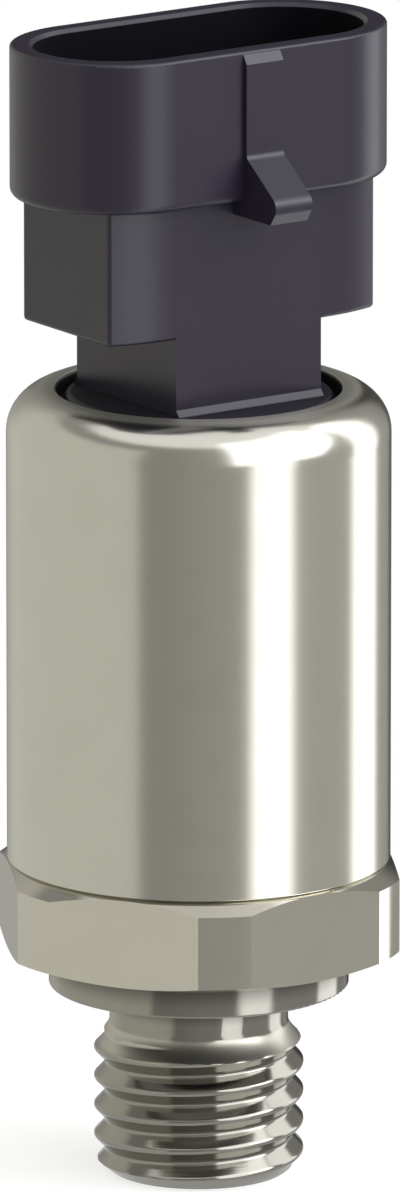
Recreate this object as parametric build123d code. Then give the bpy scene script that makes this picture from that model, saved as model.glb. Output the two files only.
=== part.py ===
from build123d import *
import math
import os

os.makedirs("parts", exist_ok=True)

# Pressure transmitter with a threaded pressure port, a steel casing and a three-way plug socket.
# The axis of the thread is Z, and the origin is the centre of the collar's sealing face. The
# socket's long side lies along X, and its latch ramp faces -Y. All sizes are in millimetres.

# Threaded stud, G 1/4 A. The thread is modelled as rings at its pitch, without their climb
thread_d = 13.157
stud_l = 12.0
tip_d = 11.2
tip_h = 0.8
relief_d = 11.2
relief_l = 2.5
thread_lead_h = 1.14
thread_ridges = 5
thread_pitch = 1.87
thread_depth = 0.72
ridge_land = 0.2
ridge_flank_w = 0.76

# Collar with the groove of the captive profile ring
collar_d = 18.8
collar_h = 2.4
collar_edge_r = 0.15
collar_groove_d = 16.6
collar_groove_h = 1.5
profile_play = 0.05
profile_lip_h = 0.5
profile_lip_w = 0.65
profile_heel_h = 0.5
profile_heel_w = 0.55

# Hexagon, as wide across flats as the casing, and the step that the casing stands on
hex_corner_w = 1.0
hex_h = 5.83
hex_bevel_deg = 30.0
hex_foot_bevel_w = 1.1
hex_foot_bevel_h = 0.42
hex_turn_deg = 2.6
casing_step_w = 0.65

# Pressure channel
inlet_d = 5.0
inlet_l = 14.0
drill_point_deg = 118.0
throttle_d = 2.0
chamber_rim_w = 1.0
chamber_h = 0.4

# Spigot and cup inside the casing
slip = 0.05
cup_wall = 1.85
cup_floor_h = 5.8
cup_depth = 8.0
cup_rim_bevel = 0.3
cell_play = 0.1

# O-rings, drawn as they are when squeezed in their grooves
body_ring_t = 1.3
body_ring_w = 1.9
ring_groove_w = 2.3
squeezed_roundness = 0.49
casing_ring_lift = 0.9
flange_ring_lift = 1.2
sensor_ring_inset = 2.1
sensor_ring_w = 2.2
sensor_ring_h = 1.5
sensor_ring_play = 0.1

# Ceramic measuring cell
diaphragm_t = 0.7
glass_t = 0.1
glass_w = 2.6
glass_inset = 0.2
cell_body_t = 5.55
cell_vent_d = 1.2
cell_notch_d = 1.8
cell_notches = 3

# Wires from the cell to the board
lead_d = 0.5
lead_inset = 1.55
lead_proud = 0.7
lead_count = 4

# Support sleeve
sleeve_foot_w = 1.4
sleeve_rim_gap = 0.3
sleeve_ledge_t = 1.0
sleeve_wall = 1.2

# Circuit board and what is soldered to it
board_t = 1.6
board_play = 0.1
hole_play = 0.1
chip_size = 4.0
chip_h = 0.9
chip_inset = 4.75
diode_l = 4.6
diode_w = 2.6
diode_h = 2.1
diode_inset = 4.45
capacitor_l = 2.0
capacitor_w = 1.25
capacitor_h = 0.9
capacitor_inset = 2.85
capacitor_y = 1.3
resistor_l = 1.6
resistor_w = 0.8
resistor_h = 0.45
resistor_inset = 2.85
resistor_y = 4.2
solder_w = 0.45
solder_tip_w = 0.15
solder_h = 0.5

# Casing
casing_d = 24.0
casing_wall = 1.0
casing_h = 30.0
casing_shoulder_r = 2.8
casing_foot_bevel = 0.05
opening_lip_w = 0.3
opening_edge_r = 0.2

# Connector flange, held under the casing's shoulder, and the boss in its opening
flange_h = 6.0
flange_roof = 2.4
flange_skirt = 2.55
boss_gap = 0.45
boss_drop = 0.23
boss_edge_r = 0.6

# Square neck between the boss and the shroud
neck_corner_inset = 0.74
neck_h = 4.85
neck_wall = 1.75
neck_core_cover = 1.2
neck_foot_h = 0.42
neck_foot_w = 0.35

# Lower shroud: straight long sides flush with the neck, bowed corners and flat ends
shroud_l = 20.0
shroud_straight_l = 11.5
shroud_bow_r = 12.4
shroud_h = 8.35
shroud_edge_r = 0.3
shroud_end_wall = 1.5
shroud_side_wall = 1.45
floor_t = 2.15

# Upper shroud, the collar that the plug slides into
band_l = 25.6
band_w = 13.1
band_h = 9.55
band_wall = 1.45
band_rim_r = 0.2
band_mouth_bevel = 0.25
band_foot_r = 0.6
band_ledge_t = 1.4

# Rib and latch ramp on the front
rib_x = 0.2
rib_w = 2.75
rib_t = 0.36
rib_bevel_h = 0.78
ramp_top_drop = 6.65
ramp_top_r = 0.5
ramp_reach = 3.16
ramp_h = 2.31
ramp_lip_h = 0.62
ramp_lip_r = 0.75
ramp_heel_h = 0.85
ramp_heel_w = 0.6
ramp_heel_r = 0.6

# Contacts, stamped from strip and moulded into the housing
terminal_count = 3
blade_pitch = 6.0
blade_w = 1.5
blade_t = 0.8
blade_drop = 5.6
blade_tip_bevel = 0.35
tail_pitch = 2.8
tail_w = 1.0
tail_proud = 0.8
link_h = 1.0
link_cover = 0.6

# Heights, from the sealing face up
hex_z = collar_h
step_z = hex_z + hex_h
cup_floor_z = step_z + cup_floor_h
cup_rim_z = cup_floor_z + cup_depth
glass_z = cup_floor_z + diaphragm_t
cell_body_z = glass_z + glass_t
cell_top_z = cell_body_z + cell_body_t
sleeve_ledge_z = cup_rim_z + sleeve_rim_gap
board_z = sleeve_ledge_z + sleeve_ledge_t
board_top_z = board_z + board_t
tail_end_z = board_z - tail_proud
casing_top_z = step_z + casing_h
flange_top_z = casing_top_z - casing_wall - slip
flange_z = flange_top_z - flange_h
boss_top_z = casing_top_z - boss_drop
shroud_z = boss_top_z + neck_h
floor_z = shroud_z + floor_t
band_z = shroud_z + shroud_h
rim_z = band_z + band_h
ledge_z = band_z + band_ledge_t
link_z = shroud_z + link_cover
blade_top_z = rim_z - blade_drop
ramp_top_z = rim_z - ramp_top_drop

# How near a height or a side an edge lies to count as on it
pick = 0.01

# Radii and widths that several pieces share
casing_r = casing_d / 2
casing_bore_r = casing_r - casing_wall
casing_step_r = casing_bore_r + casing_step_w
fitted_r = casing_bore_r - slip
ring_seat_r = casing_bore_r - body_ring_t
cup_r = fitted_r - cup_wall
cell_r = cup_r - cell_play
sensor_ring_r = cell_r - sensor_ring_inset
sensor_groove_r = sensor_ring_r - sensor_ring_w - sensor_ring_play
chamber_r = sensor_groove_r - chamber_rim_w
sleeve_foot_r = cell_r - slip
sleeve_foot_bore_r = sleeve_foot_r - sleeve_foot_w
sleeve_bore_r = fitted_r - sleeve_wall
lead_circle_r = sleeve_foot_bore_r - lead_inset
board_r = sleeve_bore_r - board_play
lead_hole_r = lead_d / 2 + hole_play
tail_hole_r = math.hypot(tail_w, blade_t) / 2 + hole_play
opening_r = casing_r - casing_shoulder_r - opening_lip_w
boss_r = opening_r - boss_gap
neck_l = math.sqrt(2) * (boss_r - neck_corner_inset)
shroud_w = neck_l


def turned(*points):
    """Solid turned about Z from the closed outline of (radius, height) points."""
    outline = make_face(Polyline(*points, close=True))
    return revolve(Plane.XZ * outline, Axis.Z)


def tube(outer_r, inner_r, low, high):
    return turned((inner_r, low), (outer_r, low), (outer_r, high), (inner_r, high))


def rod(radius, low, high):
    return Pos(0, 0, low) * extrude(Circle(radius), high - low)


def prism(outline, low, high):
    return Pos(0, 0, low) * extrude(outline, high - low)


def block(length, width, low, high, x=0, y=0):
    return Pos(x, y, 0) * prism(Rectangle(length, width), low, high)


def squeezed_ring(radial, tall, mean_r, middle_z):
    """O-ring whose round section is pressed flat between two walls."""
    section = RectangleRounded(radial, tall, squeezed_roundness * min(radial, tall))
    return revolve(Plane.XZ * (Pos(mean_r, middle_z) * section), Axis.Z)


def edges_at(solid, height):
    """Edges that lie flat at one height."""
    return solid.edges().filter_by_position(Axis.Z, height - pick, height + pick)


def beyond_x(edges, distance):
    """Those of the edges whose middle lies further than a distance from the YZ plane."""
    return edges.filter_by(lambda edge: abs(edge.center().X) > distance)


def thread_groove():
    """Groove between two ridges of the thread, with slanted flanks and a narrow floor."""
    thread_r = thread_d / 2
    floor_r = thread_r - thread_depth
    mouth_h = thread_pitch - ridge_land
    floor_h = mouth_h - 2 * ridge_flank_w
    return turned(
        (floor_r, -floor_h / 2),
        (thread_r, -mouth_h / 2),
        (thread_r, mouth_h / 2),
        (floor_r, floor_h / 2),
    )


def threaded_stud():
    """Stud with a bevelled tip, the ridges of its thread, and a narrow relief under the collar."""
    tip_r = tip_d / 2
    thread_r = thread_d / 2
    relief_r = relief_d / 2
    stud = turned(
        (0, -stud_l),
        (tip_r, -stud_l),
        (thread_r, -stud_l + tip_h),
        (thread_r, -relief_l - thread_lead_h),
        (relief_r, -relief_l),
        (relief_r, collar_h),
        (0, collar_h),
    )
    for ridge in range(thread_ridges - 1):
        stud -= Pos(0, 0, -stud_l + tip_h + (ridge + 0.5) * thread_pitch) * thread_groove()
    return stud


def collar():
    disc = rod(collar_d / 2, 0, collar_h)
    disc = fillet(edges_at(disc, 0), collar_edge_r)
    return disc - rod(collar_groove_d / 2, 0, collar_groove_h)


def hexagon():
    """Hexagon whose corners are turned round, and bevelled steeply above and a little below."""
    corner_r = casing_r + hex_corner_w
    bevel_drop = (corner_r - casing_step_r) * math.tan(math.radians(hex_bevel_deg))
    flats = RegularPolygon(casing_r, 6, major_radius=False, rotation=hex_turn_deg)
    blank = turned(
        (0, hex_z),
        (corner_r - hex_foot_bevel_w, hex_z),
        (corner_r, hex_z + hex_foot_bevel_h),
        (corner_r, step_z - bevel_drop),
        (casing_step_r, step_z),
        (0, step_z),
    )
    return blank & prism(flats, hex_z, step_z)


def spigot():
    """Upper end of the port: it centres the casing and its cup holds the cell."""
    plug = turned(
        (0, step_z),
        (fitted_r, step_z),
        (fitted_r, cup_rim_z - cup_rim_bevel),
        (fitted_r - cup_rim_bevel, cup_rim_z),
        (0, cup_rim_z),
    )
    plug -= rod(cup_r, cup_floor_z, cup_rim_z)
    ring_low = step_z + casing_ring_lift
    return plug - tube(casing_bore_r, ring_seat_r, ring_low, ring_low + ring_groove_w)


def pressure_port():
    """Stud, collar, hexagon and spigot, turned from one hexagonal bar."""
    inlet_top = -stud_l + inlet_l
    drill_tip_h = inlet_d / 2 * math.tan(math.radians(90 - drill_point_deg / 2))
    inlet = turned(
        (0, -stud_l),
        (inlet_d / 2, -stud_l),
        (inlet_d / 2, inlet_top),
        (0, inlet_top + drill_tip_h),
    )
    throttle = rod(throttle_d / 2, inlet_top, cup_floor_z)
    chamber = rod(chamber_r, cup_floor_z - chamber_h, cup_floor_z)
    groove_outer_r = sensor_ring_r + sensor_ring_play
    groove = tube(groove_outer_r, sensor_groove_r, cup_floor_z - sensor_ring_h, cup_floor_z)
    return threaded_stud() + collar() + hexagon() + spigot() - inlet - throttle - chamber - groove


def profile_ring():
    """Profile ring of the collar: a slanted lip seals, and a bevelled heel keeps it in."""
    outer_r = collar_groove_d / 2 - profile_play
    inner_r = relief_d / 2 + profile_play
    return turned(
        (inner_r, profile_play),
        (outer_r - profile_lip_w, profile_play),
        (outer_r, profile_play + profile_lip_h),
        (outer_r, collar_groove_h),
        (inner_r + profile_heel_w, collar_groove_h),
        (inner_r, collar_groove_h - profile_heel_h),
    )


def casing_o_ring():
    mean_r = casing_bore_r - body_ring_t / 2
    middle = step_z + casing_ring_lift + ring_groove_w / 2
    return squeezed_ring(body_ring_t, body_ring_w, mean_r, middle)


def flange_o_ring():
    mean_r = casing_bore_r - body_ring_t / 2
    middle = flange_z + flange_ring_lift + ring_groove_w / 2
    return squeezed_ring(body_ring_t, body_ring_w, mean_r, middle)


def sensor_o_ring():
    mean_r = sensor_ring_r - sensor_ring_w / 2
    middle = cup_floor_z - sensor_ring_h / 2
    return squeezed_ring(sensor_ring_w, sensor_ring_h, mean_r, middle)


def cell_diaphragm():
    return rod(cell_r, cup_floor_z, glass_z)


def cell_glass_ring():
    outer_r = cell_r - glass_inset
    return tube(outer_r, outer_r - glass_w, glass_z, cell_body_z)


def cell_body():
    """Thick plate of the cell, vented to the air behind the diaphragm, with locating notches."""
    plate = rod(cell_r, cell_body_z, cell_top_z)
    plate -= rod(cell_vent_d / 2, cell_body_z, cell_top_z)
    notch = rod(cell_notch_d / 2, cell_body_z, cell_top_z)
    for place in PolarLocations(cell_r, cell_notches):
        plate -= place * notch
    return plate


def lead_places():
    return list(PolarLocations(lead_circle_r, lead_count, start_angle=180 / lead_count))


def row_offset(index):
    """Place of a contact in its row, counted in pitches from the middle."""
    return index - (terminal_count - 1) / 2


def tail_places():
    return [Pos(row_offset(index) * tail_pitch, 0, 0) for index in range(terminal_count)]


def cell_lead():
    return rod(lead_d / 2, cell_top_z, board_top_z + lead_proud)


def support_sleeve():
    """Moulded sleeve: its foot holds the cell down and its inner step carries the board."""
    return turned(
        (sleeve_foot_bore_r, cell_top_z),
        (sleeve_foot_r, cell_top_z),
        (sleeve_foot_r, sleeve_ledge_z),
        (fitted_r, sleeve_ledge_z),
        (fitted_r, flange_z),
        (sleeve_bore_r, flange_z),
        (sleeve_bore_r, board_z),
        (sleeve_foot_bore_r, board_z),
    )


def circuit_board():
    board = rod(board_r, board_z, board_top_z)
    for place in lead_places():
        board -= place * rod(lead_hole_r, board_z, board_top_z)
    for place in tail_places():
        board -= place * rod(tail_hole_r, board_z, board_top_z)
    return board


def chip_part(length, width, height, x, y):
    """Plain block soldered to the top of the board."""
    return block(length, width, board_top_z, board_top_z + height, x, y)


def terminal(index):
    """Contact stamped from strip: blade in the socket, link in the floor, tail to the board."""
    blade_x = row_offset(index) * blade_pitch
    tail_x = row_offset(index) * tail_pitch
    link_low = min(blade_x - blade_w / 2, tail_x - tail_w / 2)
    link_high = max(blade_x + blade_w / 2, tail_x + tail_w / 2)
    blade = block(blade_w, blade_t, link_z, blade_top_z, blade_x)
    blade = chamfer(edges_at(blade, blade_top_z), blade_tip_bevel)
    link = block(link_high - link_low, blade_t, link_z, link_z + link_h, (link_low + link_high) / 2)
    tail = block(tail_w, blade_t, tail_end_z, link_z + link_h, tail_x)
    return blade + link + tail


def solder_joints():
    """Solder on top of the board at the cell's wires, and under it at the contacts' tails."""
    lead_cone = turned(
        (0, board_top_z),
        (lead_hole_r + solder_w, board_top_z),
        (lead_d / 2 + solder_tip_w, board_top_z + solder_h),
        (0, board_top_z + solder_h),
    )
    tail_cone = turned(
        (0, board_z),
        (tail_hole_r + solder_w, board_z),
        (tail_hole_r, board_z - solder_h),
        (0, board_z - solder_h),
    )
    tail = block(tail_w, blade_t, tail_end_z, board_z)
    joints = [place * (lead_cone - cell_lead()) for place in lead_places()]
    joints += [place * (tail_cone - tail) for place in tail_places()]
    return Compound(children=joints)


def casing():
    """Drawn sleeve whose upper end is rolled over the connector's flange."""
    shell = rod(casing_r, step_z, casing_top_z)
    shell = fillet(edges_at(shell, casing_top_z), casing_shoulder_r)
    shell = chamfer(edges_at(shell, step_z), casing_foot_bevel)
    inside = rod(casing_bore_r, step_z, casing_top_z - casing_wall)
    inside = fillet(edges_at(inside, casing_top_z - casing_wall), casing_shoulder_r - casing_wall)
    shell = shell - inside - rod(opening_r, step_z, casing_top_z)
    mouth = edges_at(shell, casing_top_z).sort_by(SortBy.LENGTH)[0]
    return fillet(mouth, opening_edge_r)


def flange_and_boss():
    """Round foot of the connector: a hollow flange under the casing's shoulder, and its boss."""
    flange = rod(fitted_r, flange_z, flange_top_z)
    flange = fillet(edges_at(flange, flange_top_z), casing_shoulder_r - casing_wall - slip)
    boss = rod(boss_r, flange_z, boss_top_z)
    boss = fillet(edges_at(boss, boss_top_z), boss_edge_r)
    ring_low = flange_z + flange_ring_lift
    groove = tube(casing_bore_r, ring_seat_r, ring_low, ring_low + ring_groove_w)
    hollow = rod(fitted_r - flange_skirt, flange_z, flange_top_z - flange_roof)
    return flange + boss - groove - hollow


def shroud_outline():
    """Outline with straight long sides, bowed corners and flat ends."""
    half_l = shroud_l / 2
    half_w = shroud_w / 2
    straight = shroud_straight_l / 2
    bow_drop = shroud_bow_r - math.sqrt(shroud_bow_r**2 - (half_l - straight) ** 2)
    end_y = half_w - bow_drop
    side = Line((0, half_w), (straight, half_w))
    bow = TangentArc((straight, half_w), (half_l, end_y), tangent=(1, 0))
    end = Line((half_l, end_y), (half_l, 0))
    quarter = Curve() + [side, bow, end]
    half = quarter + mirror(quarter, Plane.YZ)
    return make_face(half + mirror(half, Plane.XZ))


def neck_and_shroud():
    """Square neck, with a bevelled foot front and back, that widens into the lower shroud."""
    shroud = prism(shroud_outline(), shroud_z, band_z)
    end_corners = beyond_x(shroud.edges().filter_by(Axis.Z), shroud_l / 2 - pick)
    shroud = fillet(end_corners, shroud_edge_r)
    neck = block(neck_l, shroud_w, boss_top_z, shroud_z)
    foot = make_face(
        Polyline(
            (shroud_w / 2 + neck_foot_w, boss_top_z),
            (shroud_w / 2, boss_top_z + neck_foot_h),
            (-shroud_w / 2, boss_top_z + neck_foot_h),
            (-shroud_w / 2 - neck_foot_w, boss_top_z),
            close=True,
        )
    )
    foot = extrude(Plane.YZ * foot, neck_l / 2, both=True)
    body = shroud + neck + foot
    return fillet(beyond_x(edges_at(body, shroud_z), neck_l / 2 + pick), shroud_edge_r)


def rounded_corner(face, y, z, radius):
    """Side view with its corner at a place turned into an arc."""
    return fillet(face.vertices().sort_by_distance((y, z, 0))[0], radius)


def rib_and_ramp():
    """Rib on the front of the band and, under it, the ramp that the plug's latch snaps over."""
    face_y = -band_w / 2
    rib_y = face_y - rib_t
    lip_y = rib_y - ramp_reach
    heel_y = lip_y + ramp_heel_w
    in_band_y = face_y + band_wall / 2
    in_shroud_y = -shroud_w / 2 + shroud_side_wall / 2
    lip_z = ramp_top_z - ramp_h
    heel_z = lip_z - ramp_lip_h
    side_view = make_face(
        Polyline(
            (in_band_y, rim_z - band_rim_r),
            (face_y, rim_z - band_rim_r),
            (rib_y, rim_z - rib_bevel_h),
            (rib_y, ramp_top_z),
            (lip_y, lip_z),
            (lip_y, heel_z),
            (heel_y, heel_z - ramp_heel_h),
            (in_shroud_y, heel_z - ramp_heel_h),
            close=True,
        )
    )
    side_view = rounded_corner(side_view, rib_y, ramp_top_z, ramp_top_r)
    side_view = rounded_corner(side_view, lip_y, lip_z, ramp_lip_r)
    side_view = rounded_corner(side_view, lip_y, heel_z, ramp_heel_r)
    return Pos(rib_x, 0, 0) * extrude(Plane.YZ * side_view, rib_w / 2, both=True)


def band():
    """Upper shroud, open at its rim."""
    ring = prism(SlotOverall(band_l, band_w), band_z, rim_z)
    ring = fillet(edges_at(ring, band_z), band_foot_r)
    return fillet(edges_at(ring, rim_z), band_rim_r)


def plug_cavity():
    """Room for the plug: a wide mouth, bevelled at the rim, and a narrower well for the contacts."""
    mouth_outline = SlotOverall(band_l - 2 * band_wall, band_w - 2 * band_wall)
    mouth = prism(mouth_outline, ledge_z, rim_z)
    well_outline = SlotOverall(shroud_l - 2 * shroud_end_wall, shroud_w - 2 * shroud_side_wall)
    well = prism(well_outline, floor_z, ledge_z)
    return mouth + well


def connector_housing():
    """One moulding: flange, boss, neck, shrouds, rib and ramp, round the moulded-in contacts."""
    housing = flange_and_boss() + neck_and_shroud() + band() + rib_and_ramp() - plug_cavity()
    rim = housing.faces().sort_by(Axis.Z)[-1]
    housing = chamfer(rim.inner_wires()[0].edges(), band_mouth_bevel)
    core_w = neck_l - 2 * neck_wall
    housing -= block(core_w, core_w, flange_z, shroud_z - neck_core_cover)
    for index in range(terminal_count):
        housing -= terminal(index)
    return housing


parts = {
    "pressure_port": pressure_port(),
    "profile_ring": profile_ring(),
    "casing": casing(),
    "casing_o_ring": casing_o_ring(),
    "sensor_o_ring": sensor_o_ring(),
    "cell_diaphragm": cell_diaphragm(),
    "cell_glass_ring": cell_glass_ring(),
    "cell_body": cell_body(),
    "support_sleeve": support_sleeve(),
    "circuit_board": circuit_board(),
    "signal_chip": chip_part(chip_size, chip_size, chip_h, 0, board_r - chip_inset),
    "surge_diode": chip_part(diode_l, diode_w, diode_h, 0, diode_inset - board_r),
    "solder_joints": solder_joints(),
    "flange_o_ring": flange_o_ring(),
    "connector_housing": connector_housing(),
}
for number, place in enumerate(lead_places(), 1):
    parts[f"cell_lead_{number}"] = place * cell_lead()
for number, (side_x, side_y) in enumerate(((-1, -1), (1, -1), (1, 1), (-1, 1)), 1):
    capacitor_x = side_x * (board_r - capacitor_inset)
    resistor_x = side_x * (board_r - resistor_inset)
    parts[f"capacitor_{number}"] = chip_part(
        capacitor_l, capacitor_w, capacitor_h, capacitor_x, side_y * capacitor_y
    )
    parts[f"resistor_{number}"] = chip_part(
        resistor_l, resistor_w, resistor_h, resistor_x, side_y * resistor_y
    )
for index in range(terminal_count):
    parts[f"terminal_{index + 1}"] = terminal(index)

for node, shape in parts.items():
    export_step(shape, f"parts/{node}.step")
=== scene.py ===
import math

import bmesh
import bpy
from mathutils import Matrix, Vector


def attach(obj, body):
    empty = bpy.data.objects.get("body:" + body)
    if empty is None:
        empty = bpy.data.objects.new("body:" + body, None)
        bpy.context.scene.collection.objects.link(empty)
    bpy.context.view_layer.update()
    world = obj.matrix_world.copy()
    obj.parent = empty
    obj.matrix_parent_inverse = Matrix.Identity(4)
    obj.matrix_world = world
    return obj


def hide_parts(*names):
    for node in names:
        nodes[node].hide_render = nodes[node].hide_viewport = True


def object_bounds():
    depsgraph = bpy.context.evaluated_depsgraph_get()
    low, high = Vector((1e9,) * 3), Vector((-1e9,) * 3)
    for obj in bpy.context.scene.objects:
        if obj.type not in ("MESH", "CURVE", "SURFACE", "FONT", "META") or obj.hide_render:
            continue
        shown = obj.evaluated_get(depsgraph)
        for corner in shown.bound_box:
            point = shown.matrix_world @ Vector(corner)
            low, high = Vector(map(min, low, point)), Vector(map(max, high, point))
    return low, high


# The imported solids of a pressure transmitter, which stands on the end of its threaded stud. Z is
# the axis of the thread. The solids are in metres, and the sizes below in millimetres. The sections
# follow the way it is put together, from the pressure port up to the rolled-over casing.
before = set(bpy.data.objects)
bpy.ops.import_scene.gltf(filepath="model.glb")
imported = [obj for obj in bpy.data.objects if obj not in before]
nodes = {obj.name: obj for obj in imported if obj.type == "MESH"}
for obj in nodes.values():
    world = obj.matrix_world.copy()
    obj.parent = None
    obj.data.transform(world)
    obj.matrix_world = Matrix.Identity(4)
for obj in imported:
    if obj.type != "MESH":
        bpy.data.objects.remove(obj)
solid_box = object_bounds()
scene = bpy.context.scene
MM = 0.001


# Camera, far off with a long lens as in the photograph: a little above the object and well round
# to the left of the socket's front.
camera_place = Vector((-0.62093, -0.89985, 0.29012))
camera_aim = Vector((0.0, 0.0, 0.02481))
camera_data = bpy.data.cameras.new("camera")
camera_data.sensor_width = 36.0
camera_data.lens = 545.0
camera_data.shift_x = 0.00104
camera = bpy.data.objects.new("camera", camera_data)
camera.location = camera_place
camera.rotation_euler = (camera_aim - camera_place).to_track_quat("-Z", "Y").to_euler()
scene.collection.objects.link(camera)
scene.camera = camera
scene.view_settings.view_transform = "Standard"


# Studio, laid out in degrees of bearing from the camera's side and of height above the table: dim
# walls, a pale one on the left, softboxes on the right with a small strong lamp in the widest of
# them, and another overhead. Wherever the camera itself looks it is plain white.
class Socket:
    """Output of a shader node. Signs of arithmetic add Math nodes, and add() any other node."""

    def __init__(self, tree, output=None):
        self.tree = tree
        self.output = output

    def add(self, kind, settings, inputs, output=0):
        """New node: its settings first, then a value or a link for each of its inputs."""
        node = self.tree.nodes.new(kind)
        for name, value in settings.items():
            setattr(node, name, value)
        for name, value in inputs.items():
            if isinstance(value, Socket):
                self.tree.links.new(value.output, node.inputs[name])
            else:
                node.inputs[name].default_value = value
        return Socket(self.tree, node.outputs[output] if len(node.outputs) else None)

    def maths(self, operation, first, second=0.0):
        return self.add("ShaderNodeMath", {"operation": operation}, {0: first, 1: second})

    def __add__(self, other):
        return self.maths("ADD", self, other)

    def __radd__(self, other):
        return self.maths("ADD", other, self)

    def __sub__(self, other):
        return self.maths("SUBTRACT", self, other)

    def __rsub__(self, other):
        return self.maths("SUBTRACT", other, self)

    def __mul__(self, other):
        return self.maths("MULTIPLY", self, other)

    def __rmul__(self, other):
        return self.maths("MULTIPLY", other, self)

    def __abs__(self):
        return self.maths("ABSOLUTE", self)

    def larger(self, other):
        return self.maths("MAXIMUM", self, other)

    def step(self, start, end):
        """0 before start and 1 after end, with a smooth rise between them."""
        settings = {"interpolation_type": "SMOOTHSTEP"}
        return self.add("ShaderNodeMapRange", settings, {0: self, 1: start, 2: end})

    def along(self, direction):
        """How far a vector goes in a direction."""
        settings = {"operation": "DOT_PRODUCT"}
        return self.add("ShaderNodeVectorMath", settings, {0: self, 1: direction}, 1)

    def stretched(self, across, up):
        """A place with its parts across and along Z multiplied."""
        settings = {"operation": "MULTIPLY"}
        return self.add("ShaderNodeVectorMath", settings, {0: self, 1: (across, across, up)})

    def noise(self, scale, detail=2.0):
        inputs = {"Vector": self, "Scale": scale, "Detail": detail}
        return self.add("ShaderNodeTexNoise", {}, inputs)

    def mix(self, low, high):
        """Colour that goes from low to high with this value."""
        return self.add("ShaderNodeMix", {"data_type": "RGBA"}, {0: self, 6: low, 7: high}, 2)


def panel(left, right, bottom, top, feather):
    """1 on a panel of the studio and 0 beside it. Its sides are bearings and heights in degrees."""
    past_left = bearing.step(left - feather, left + feather)
    before_right = bearing.step(right + feather, right - feather)
    over_bottom = height.step(bottom - feather, bottom + feather)
    under_top = height.step(top + feather, top - feather)
    return past_left * before_right * over_bottom * under_top


toward = Vector((camera_place.x, camera_place.y, 0.0)).normalized()
rightward = Vector((-toward.y, toward.x, 0.0))
white = (1.0, 1.0, 1.0, 1.0)
world = bpy.data.worlds.new("studio")
world.use_nodes = True
world.node_tree.nodes.clear()
scene.world = world
studio = Socket(world.node_tree)
ray = studio.add("ShaderNodeTexCoord", {}, {}, "Generated")
bearing = studio.maths("ARCTAN2", ray.along(rightward), ray.along(toward)) * math.degrees(1)
height = studio.maths("ARCSINE", ray.along((0.0, 0.0, 1.0))) * math.degrees(1)
pale_wall = panel(-250, -36, -250, 39, 3) * bearing.step(-180, -140)
right_wall = bearing.step(-30, 15) + 1.3 * panel(62, 101, -250, 30, 3)
far_wall = abs(bearing).step(135, 165) * height.step(-8, 6)
far_corner = (bearing.step(154, 164) + bearing.step(-168, -178)) * height.step(34, 26)
side_light = panel(31, 59.3, -250, 62, 4)
slant = height - 1.65 * (bearing - 77.5).larger(0.0)
wide_light = panel(20.5, 110, 4, 64, 3) * slant.step(-1, 6)
rim_light = panel(104.5, 133, -250, 52, 3)
top_light = (height - 20.0 * abs(bearing).step(132, 152)).step(49, 55)
lamp_bearing = math.radians(80)
lamp_height = math.radians(32)
lamp_way = math.cos(lamp_bearing) * toward + math.sin(lamp_bearing) * rightward
lamp_way = math.cos(lamp_height) * lamp_way + math.sin(lamp_height) * Vector((0.0, 0.0, 1.0))
lamp = ray.along(lamp_way).step(math.cos(math.radians(24)), math.cos(math.radians(10))) * wide_light
softboxes = side_light.larger(1.15 * wide_light).larger(rim_light)
wall_light = 0.32 + 0.36 * pale_wall + 0.07 * right_wall
wall_light = wall_light * (1.0 - 0.25 * far_wall) * (1.0 - 0.8 * far_corner)
room = wall_light.larger(2.0 * softboxes).larger(1.05 * top_light).larger(4.5 * lamp)
walls = pale_wall.mix((1.0, 0.975, 0.93, 1.0), (1.0, 0.985, 0.88, 1.0))
tint = softboxes.larger(top_light).larger(lamp).mix(walls, white)
lit = studio.add("ShaderNodeBackground", {}, {"Color": tint, "Strength": room})
backdrop = studio.add("ShaderNodeBackground", {}, {"Color": white, "Strength": 1.0})
camera_ray = studio.add("ShaderNodeLightPath", {}, {}, "Is Camera Ray")
glass_ray = studio.add("ShaderNodeLightPath", {}, {}, "Is Transmission Ray")
straight_ray = camera_ray.larger(glass_ray)
shown = studio.add("ShaderNodeMixShader", {}, {0: straight_ray, 1: lit, 2: backdrop})
studio.add("ShaderNodeOutputWorld", {}, {"Surface": shown})


# Table, a small white round that keeps the object's shadow. Steel mirrors it as a plain pale
# surface, and it has no underside, so that the end of the stud can be seen from below.
table_radius = 34 * MM
table_gap = 0.02 * MM
table_mesh = bpy.data.meshes.new("table")
shape = bmesh.new()
bmesh.ops.create_circle(shape, cap_ends=True, segments=96, radius=table_radius)
shape.to_mesh(table_mesh)
shape.free()
table = bpy.data.objects.new("table", table_mesh)
table.location.z = solid_box[0].z - table_gap
scene.collection.objects.link(table)
table_top = bpy.data.materials.new("table_top")
table_top.use_nodes = True
table_top.node_tree.nodes.clear()
top = Socket(table_top.node_tree)
painted = top.add("ShaderNodeBsdfDiffuse", {}, {"Color": (0.45, 0.45, 0.45, 1.0)})
seen = top.add("ShaderNodeLightPath", {}, {}, "Is Camera Ray")
mirrored = top.add("ShaderNodeLightPath", {}, {}, "Is Glossy Ray")
through = top.add("ShaderNodeLightPath", {}, {}, "Is Transmission Ray")
glow = top.add("ShaderNodeEmission", {}, {"Color": white, "Strength": 0.72 * seen.larger(through)})
pale = top.add("ShaderNodeAddShader", {}, {0: painted, 1: glow})
image = top.add("ShaderNodeEmission", {}, {"Color": white, "Strength": 0.62})
either = top.add("ShaderNodeMixShader", {}, {0: mirrored, 1: pale, 2: image})
from_below = top.add("ShaderNodeNewGeometry", {}, {}, "Backfacing")
clear = top.add("ShaderNodeBsdfTransparent", {}, {})
one_sided = top.add("ShaderNodeMixShader", {}, {0: from_below, 1: either, 2: clear})
top.add("ShaderNodeOutputMaterial", {}, {"Surface": one_sided})
table_mesh.materials.append(table_top)


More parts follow.
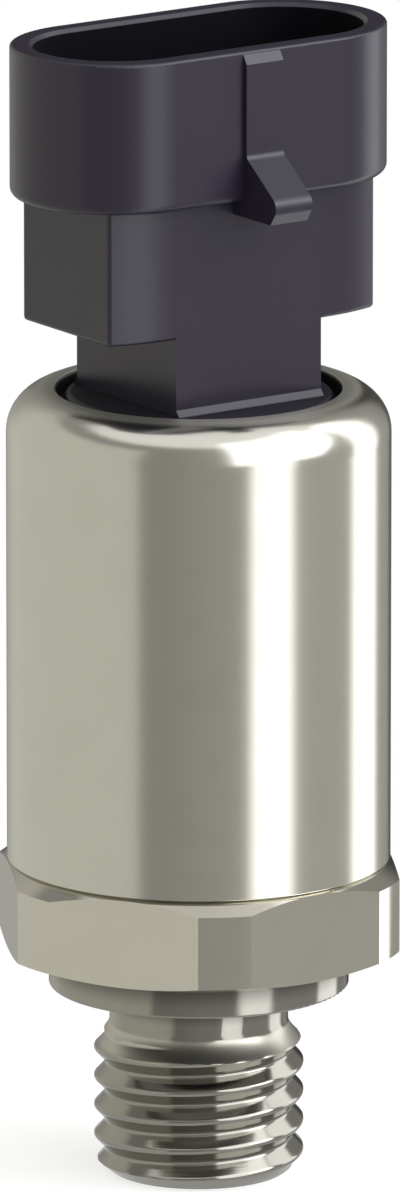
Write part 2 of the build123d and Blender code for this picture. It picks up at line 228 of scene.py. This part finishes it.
# Pressure port, one piece turned from bright hexagonal stainless bar. Below the hexagon its colour
# is painted darker, as painted shade for the darker surroundings that the collar and the stud
# mirror, with more painted shade under the hexagon and under the collar and less on the thread's
# run-in. Its solid is kept above the undercut of the thread, and the stud below is made here, where
# the solid's plain rings get the climb of a right-hand thread.
def surface(name):
    """New material, and the place on the piece in millimetres."""
    material = bpy.data.materials.new(name)
    material.use_nodes = True
    material.node_tree.nodes.clear()
    place = Socket(material.node_tree).add("ShaderNodeTexCoord", {}, {}, "Object")
    scaled = place.add("ShaderNodeVectorMath", {"operation": "SCALE"}, {0: place, "Scale": 1 / MM})
    return material, scaled


def close_surface(colour, roughness, relief, depth, constants):
    """Principled shader with a relief of the given depth in millimetres."""
    bump = relief.add("ShaderNodeBump", {}, {"Height": relief, "Distance": depth * MM})
    inputs = {"Base Color": colour, "Roughness": roughness, "Normal": bump, **constants}
    shader = relief.add("ShaderNodeBsdfPrincipled", {}, inputs)
    relief.add("ShaderNodeOutputMaterial", {}, {"Surface": shader})


def dress(names, material):
    """Gives a material to solids that are shown as they are."""
    for name in names:
        slots = nodes[name].data.materials
        slots.clear()
        slots.append(material)


turned_steel, place = surface("turned_steel")
turning = place.stretched(0.12, 14).noise(1.0, 3.0)
cloud = place.noise(0.35)
bright = cloud.mix((0.60, 0.585, 0.52, 1.0), (0.66, 0.645, 0.58, 1.0))
# dull: painted shade, a darker steel colour that stands in for the darker surroundings mirrored by
# the collar and the stud.
dull = cloud.mix((0.33, 0.32, 0.29, 1.0), (0.38, 0.37, 0.335, 1.0))
z = place.along((0.0, 0.0, 1.0))
collar_top_z = 2.4
# Painted shade under the hexagon's overhang on the collar's top, and under the collar on the stud's
# top.
painted_shade_under_hexagon = z.step(0.4, 2.0)
painted_shade_under_collar = z.step(-1.7, -0.8) * z.step(0.0, -0.05)
# On the thread's run-in the stud is rougher, and its painted shade is mostly lifted as painted
# light, where the flare mirrors the collar's dark underside.
run_in_rough_and_painted_light = z.step(-3.9, -3.6) * z.step(-2.4, -2.6)
# Below the collar's top the colour is painted shade, the dull colour.
painted_darker_reflection = z.step(collar_top_z + 0.05, collar_top_z) * (1.0 - 0.7 * run_in_rough_and_painted_light)
# corner: painted shade, which mixes the dull colour towards near-black.
corner = 0.8 * painted_shade_under_hexagon + 0.6 * painted_shade_under_collar
close_surface(
    painted_darker_reflection.mix(bright, corner.mix(dull, (0.09, 0.088, 0.08, 1.0))),
    0.09 + 0.06 * turning + 0.22 * run_in_rough_and_painted_light,
    turning,
    0.001,
    {"Metallic": 1.0},
)

pitch = 1.87
crest_z = -11.2
thread_r = 13.157 / 2
thread_depth = 0.72
crest_land = 0.2
flank_w = 0.76
edge_rounding = 0.08
tip_r = 5.6
tip_h = 0.8
stud_l = 12.0
relief_z = -2.35
thread_lead_h = 1.34
bore_r = 2.5
cut_z = -2.1
relief_curve = 1.6
columns = 144
rows_per_pitch = 34


def rise(share):
    """Running sum of a ramp from 0 to 1."""
    inside = min(max(share, 0.0), 1.0)
    return inside * inside / 2 + max(share - 1.0, 0.0)


def groove(offset):
    """Depth of the thread's groove at a distance along the axis from the middle of a crest."""
    share = (abs(offset) - crest_land / 2) / flank_w
    soft = edge_rounding / flank_w
    return thread_depth * (rise(share + soft) - rise(share - soft)) / (2 * soft)


def threaded_radius(along, z):
    """Radius of the stud at a height, where along is the height less the climb of the thread."""
    offset = (along - crest_z + pitch / 2) % pitch - pitch / 2
    at_tip = tip_r + (z + stud_l) * (thread_r - tip_r) / tip_h
    at_relief = tip_r + ((relief_z - z) / thread_lead_h) ** relief_curve * (thread_r - tip_r)
    return min(thread_r - groove(offset), at_tip, at_relief)


def between_rims(z):
    """Height kept on the stud, where a point that is nearly at a rim goes all the way to it."""
    near = 0.01
    if z > relief_z - near:
        return relief_z
    if z < near - stud_l:
        return -stud_l
    return z


def new_point(shape, radius, angle, z):
    """Point at a distance from the thread's axis, in millimetres."""
    return shape.verts.new((radius * math.cos(angle) * MM, radius * math.sin(angle) * MM, z * MM))


def thread_surface(shape):
    """Outside of the stud: rows of points that climb with the thread and end at flat rims."""
    front = math.atan2(toward.y, toward.x)
    first = math.floor((-stud_l - crest_z) / pitch) - 1
    last = math.ceil((relief_z - crest_z) / pitch) + 1
    rows = []
    for row in range(first * rows_per_pitch, last * rows_per_pitch + 1):
        along = crest_z + row * pitch / rows_per_pitch
        points = []
        for column in range(columns + 1):
            turn = column / columns - 0.5
            z = between_rims(along + pitch * turn)
            radius = threaded_radius(z - pitch * turn, z)
            points.append(new_point(shape, radius, front + math.tau * turn, z))
        rows.append(points)
    for low, high in zip(rows, rows[1:]):
        for column in range(columns):
            corners = (low[column], low[column + 1], high[column + 1], high[column])
            shape.faces.new(corners)


def on_ring(point, z, radius):
    """Whether a point lies at a height, on the circle of about a radius."""
    off_circle = abs(math.hypot(point.x, point.y) - radius * MM)
    return abs(point.z - z * MM) < 0.001 * MM and off_circle < 0.05 * MM


def ring_edges(shape, z, radius):
    """Edges on the circle of about a radius at a height."""
    return [edge for edge in shape.edges if all(on_ring(end.co, z, radius) for end in edge.verts)]


def circle(shape, radius, z):
    """Closed round of edges."""
    turns = [math.tau * column / columns for column in range(columns)]
    points = [new_point(shape, radius, angle, z) for angle in turns]
    return [shape.edges.new((points[column - 1], points[column])) for column in range(columns)]


port_mesh = bpy.data.meshes.new("threaded_port")
shape = bmesh.new()
thread_surface(shape)
same_point = 1e-7
bmesh.ops.remove_doubles(shape, verts=shape.verts, dist=same_point)
bmesh.ops.dissolve_degenerate(shape, edges=shape.edges, dist=same_point)
upper = bmesh.new()
upper.from_mesh(nodes["pressure_port"].data)
bmesh.ops.remove_doubles(upper, verts=upper.verts, dist=same_point)
cut_plane = {"plane_co": (0, 0, cut_z * MM), "plane_no": (0, 0, 1), "clear_inner": True}
bmesh.ops.bisect_plane(upper, geom=upper.verts[:] + upper.edges[:] + upper.faces[:], **cut_plane)
upper_mesh = bpy.data.meshes.new("port_above_the_thread")
upper.to_mesh(upper_mesh)
upper.free()
shape.from_mesh(upper_mesh)
bpy.data.meshes.remove(upper_mesh)
bore_foot = circle(shape, bore_r, -stud_l)
relief_rims = ring_edges(shape, relief_z, tip_r) + ring_edges(shape, cut_z, tip_r)
bmesh.ops.bridge_loops(shape, edges=relief_rims)
bmesh.ops.bridge_loops(shape, edges=bore_foot + ring_edges(shape, cut_z, bore_r))
bmesh.ops.bridge_loops(shape, edges=bore_foot + ring_edges(shape, -stud_l, tip_r))
bmesh.ops.recalc_face_normals(shape, faces=shape.faces)
sharp_above_cut = math.radians(18)
sharp_on_thread = math.radians(35)
for edge in shape.edges:
    sharp = sharp_above_cut if edge.verts[0].co.z > cut_z * MM else sharp_on_thread
    edge.smooth = edge.calc_face_angle(math.pi) < sharp
for face in shape.faces:
    face.smooth = True
shape.to_mesh(port_mesh)
shape.free()
port_mesh.materials.append(turned_steel)
port = bpy.data.objects.new("threaded_port", port_mesh)
port.modifiers.new("normals_led_by_wide_faces", "WEIGHTED_NORMAL").keep_sharp = True
scene.collection.objects.link(port)
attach(port, "root")
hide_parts("pressure_port")


# Seals: the profile ring in the collar's groove and the three O-rings are moulded black rubber,
# matt and slightly dusty, and their flash lines are ground off.
seal_rubber, place = surface("seal_rubber")
grain = place.noise(9.0, 4.0)
bloom = place.noise(0.8)
close_surface(
    bloom.mix((0.014, 0.014, 0.015, 1.0), (0.030, 0.030, 0.031, 1.0)),
    0.55 + 0.2 * grain,
    grain,
    0.01,
    {"Specular IOR Level": 0.4},
)
dress(["profile_ring", "sensor_o_ring", "casing_o_ring", "flange_o_ring"], seal_rubber)


# Measuring cell: a thin and a thick plate of sintered alumina, joined by a ring of fired glass
# with the electrodes between them, and four plated wires that go up to the board.
alumina, place = surface("alumina")
grain = place.noise(14.0, 4.0)
bloom = place.noise(0.5)
close_surface(
    bloom.mix((0.78, 0.77, 0.73, 1.0), (0.84, 0.83, 0.80, 1.0)),
    0.5 + 0.15 * grain,
    grain,
    0.006,
    {},
)
dress(["cell_diaphragm", "cell_body"], alumina)

seal_glass, place = surface("seal_glass")
bubbles = place.noise(7.0, 3.0)
close_surface(
    bubbles.mix((0.10, 0.13, 0.17, 1.0), (0.16, 0.20, 0.24, 1.0)),
    0.12 + 0.12 * bubbles,
    bubbles,
    0.006,
    {"IOR": 1.55},
)
dress(["cell_glass_ring"], seal_glass)

plated_wire, place = surface("plated_wire")
drawing = place.stretched(16, 0.3).noise(1.0, 3.0)
close_surface(
    drawing.mix((0.66, 0.64, 0.60, 1.0), (0.74, 0.72, 0.68, 1.0)),
    0.24 + 0.16 * drawing,
    drawing,
    0.004,
    {"Metallic": 1.0},
)
dress([f"cell_lead_{number}" for number in range(1, 5)], plated_wire)


# Support sleeve, moulded in pale glass-filled plastic. It stands on the cell inside the port's
# cup and carries the board on its inner step.
sleeve_plastic, place = surface("sleeve_plastic")
grain = place.noise(5.0, 4.0)
flow = place.stretched(0.5, 0.15).noise(1.0)
close_surface(
    flow.mix((0.60, 0.57, 0.50, 1.0), (0.68, 0.65, 0.58, 1.0)),
    0.4 + 0.15 * grain,
    grain,
    0.008,
    {"IOR": 1.5},
)
dress(["support_sleeve"], sleeve_plastic)


# Circuit board of glass cloth and resin under green lacquer, with the chip, the diode and the
# capacitors and resistors soldered to its top.
board_lacquer, place = surface("board_lacquer")
x = place.along((1.0, 0.0, 0.0))
y = place.along((0.0, 1.0, 0.0))
cloth = x.maths("SINE", x * 14) * y.maths("SINE", y * 14)
tracks = place.add(
    "ShaderNodeTexBrick",
    {"offset": 0.5},
    {"Vector": place, "Scale": 1.0, "Mortar Size": 0.09, "Brick Width": 2.2, "Row Height": 0.9},
    "Fac",
)
close_surface(
    tracks.mix((0.006, 0.085, 0.032, 1.0), (0.012, 0.15, 0.055, 1.0)),
    0.3 + 0.08 * place.noise(3.0),
    0.2 * cloth + tracks,
    0.012,
    {"Coat Weight": 0.3, "Coat Roughness": 0.15},
)
dress(["circuit_board"], board_lacquer)

chip_resin, place = surface("chip_resin")
grain = place.noise(18.0, 4.0)
close_surface(
    place.noise(1.2).mix((0.016, 0.016, 0.017, 1.0), (0.026, 0.026, 0.027, 1.0)),
    0.5 + 0.2 * grain,
    grain,
    0.008,
    {"Specular IOR Level": 0.4},
)
dress(["signal_chip", "surge_diode"], chip_resin)

part_row_x = 6.8
cap_w = 0.35
tin = (0.62, 0.61, 0.59, 1.0)
for kind, length, low, high in (
    ("capacitor", 2.0, (0.36, 0.24, 0.13, 1.0), (0.44, 0.30, 0.17, 1.0)),
    ("resistor", 1.6, (0.020, 0.020, 0.022, 1.0), (0.035, 0.035, 0.037, 1.0)),
):
    fired_body, place = surface(f"{kind}_body")
    from_middle = abs(abs(place.along((1.0, 0.0, 0.0))) - part_row_x)
    cap = from_middle.step(length / 2 - cap_w, length / 2 - cap_w + 0.04)
    grain = place.noise(16.0, 3.0)
    close_surface(
        cap.mix(grain.mix(low, high), tin),
        0.5 - 0.18 * cap + 0.1 * grain,
        grain + cap,
        0.01,
        {"Metallic": cap},
    )
    dress([f"{kind}_{number}" for number in range(1, 5)], fired_body)

solder, place = surface("solder")
ripple = place.noise(4.0, 3.0)
close_surface(
    ripple.mix((0.56, 0.56, 0.57, 1.0), (0.68, 0.68, 0.69, 1.0)),
    0.2 + 0.22 * ripple,
    ripple,
    0.01,
    {"Metallic": 1.0},
)
dress(["solder_joints"], solder)


# Contacts, stamped from tinned bronze strip and moulded into the housing. The blades stand in the
# socket, and their tails go down to the board.
contact_tin, place = surface("contact_tin")
rolling = place.stretched(9, 0.4).noise(1.0, 3.0)
dull = place.noise(0.9)
close_surface(
    dull.mix((0.58, 0.56, 0.52, 1.0), (0.70, 0.68, 0.64, 1.0)),
    0.22 + 0.14 * rolling,
    rolling,
    0.004,
    {"Metallic": 1.0},
)
dress([f"terminal_{number}" for number in range(1, 4)], contact_tin)


# Connector housing, one moulding in black glass-filled plastic with a faint violet cast. Its skin
# is satin, with a fine spark-eroded grain from the mould. Inside the socket, and at half strength
# on the boss that fills the casing's opening, a duller near-black copy of the skin is painted
# shade.
black_plastic, place = surface("black_plastic")
grain = place.noise(11.0, 4.0)
flow = place.stretched(0.35, 0.12).noise(1.0)
x = place.along((1.0, 0.0, 0.0))
y = place.along((0.0, 1.0, 0.0))
z = place.along((0.0, 0.0, 1.0))


def in_slot(half_length, radius, bottom, top):
    """1 inside a slot along X between two heights, and 0 outside it."""
    past_end = (abs(x) - half_length).larger(0.0)
    spread = past_end * past_end + y * y
    inside = spread.step((radius + 0.1) ** 2, (radius + 0.05) ** 2)
    return inside * z.step(bottom - 0.1, bottom - 0.05) * z.step(top + 0.05, top)


mouth = in_slot(half_length=6.25, radius=5.1, bottom=52.5, top=60.5)
well = in_slot(half_length=4.5, radius=4.0, bottom=45.0, top=52.5)
boss_top_z = 38.0
on_boss = z.step(boss_top_z + 0.06, boss_top_z + 0.02)
relief = grain.add("ShaderNodeBump", {}, {"Height": grain, "Distance": 0.006 * MM})
skin = grain.add("ShaderNodeBsdfPrincipled", {}, {
    "Base Color": flow.mix((0.019, 0.015, 0.030, 1.0), (0.025, 0.020, 0.038, 1.0)),
    "Roughness": 0.26 + 0.07 * grain, "Normal": relief, "IOR": 1.5,
})
# inner: a near-black, duller copy of the skin, used as painted shade.
inner = grain.add("ShaderNodeBsdfPrincipled", {}, {
    "Base Color": flow.mix((0.003, 0.002, 0.004, 1.0), (0.004, 0.003, 0.006, 1.0)),
    "Roughness": 0.6 + 0.1 * grain, "Normal": relief, "Specular IOR Level": 0.1,
})
# Painted shade: all of the socket's mouth and well, and the boss at half strength.
painted_socket_shade = mouth.larger(well).larger(0.5 * on_boss)
plastic = grain.add("ShaderNodeMixShader", {}, {0: painted_socket_shade, 1: skin, 2: inner})
grain.add("ShaderNodeOutputMaterial", {}, {"Surface": plastic})
dress(["connector_housing"], black_plastic)


# Casing, a drawn sleeve of stainless steel, ground to a satin finish with lines that go round it.
# Its upper end is rolled over the connector's flange, which leaves it duller there, and the inside
# of the opening is painted near-black as painted shade.
ground_steel, place = surface("ground_steel")
grinding = place.stretched(0.08, 10).noise(1.0, 3.0)
cloud = place.noise(0.3)
x = place.along((1.0, 0.0, 0.0))
y = place.along((0.0, 1.0, 0.0))
from_axis = x * x + y * y
rolled = from_axis.step(10.5 ** 2, 9.9 ** 2)
# Painted shade: near-black on the inside of the opening.
painted_opening_shade = from_axis.step(9.0 ** 2, 8.95 ** 2)
ground = cloud.mix((0.61, 0.60, 0.54, 1.0), (0.65, 0.64, 0.58, 1.0))
close_surface(
    painted_opening_shade.mix(ground, (0.05, 0.05, 0.048, 1.0)),
    0.16 + 0.06 * grinding + 0.25 * rolled,
    grinding,
    0.002,
    {"Metallic": 1.0},
)
dress(["casing"], ground_steel)
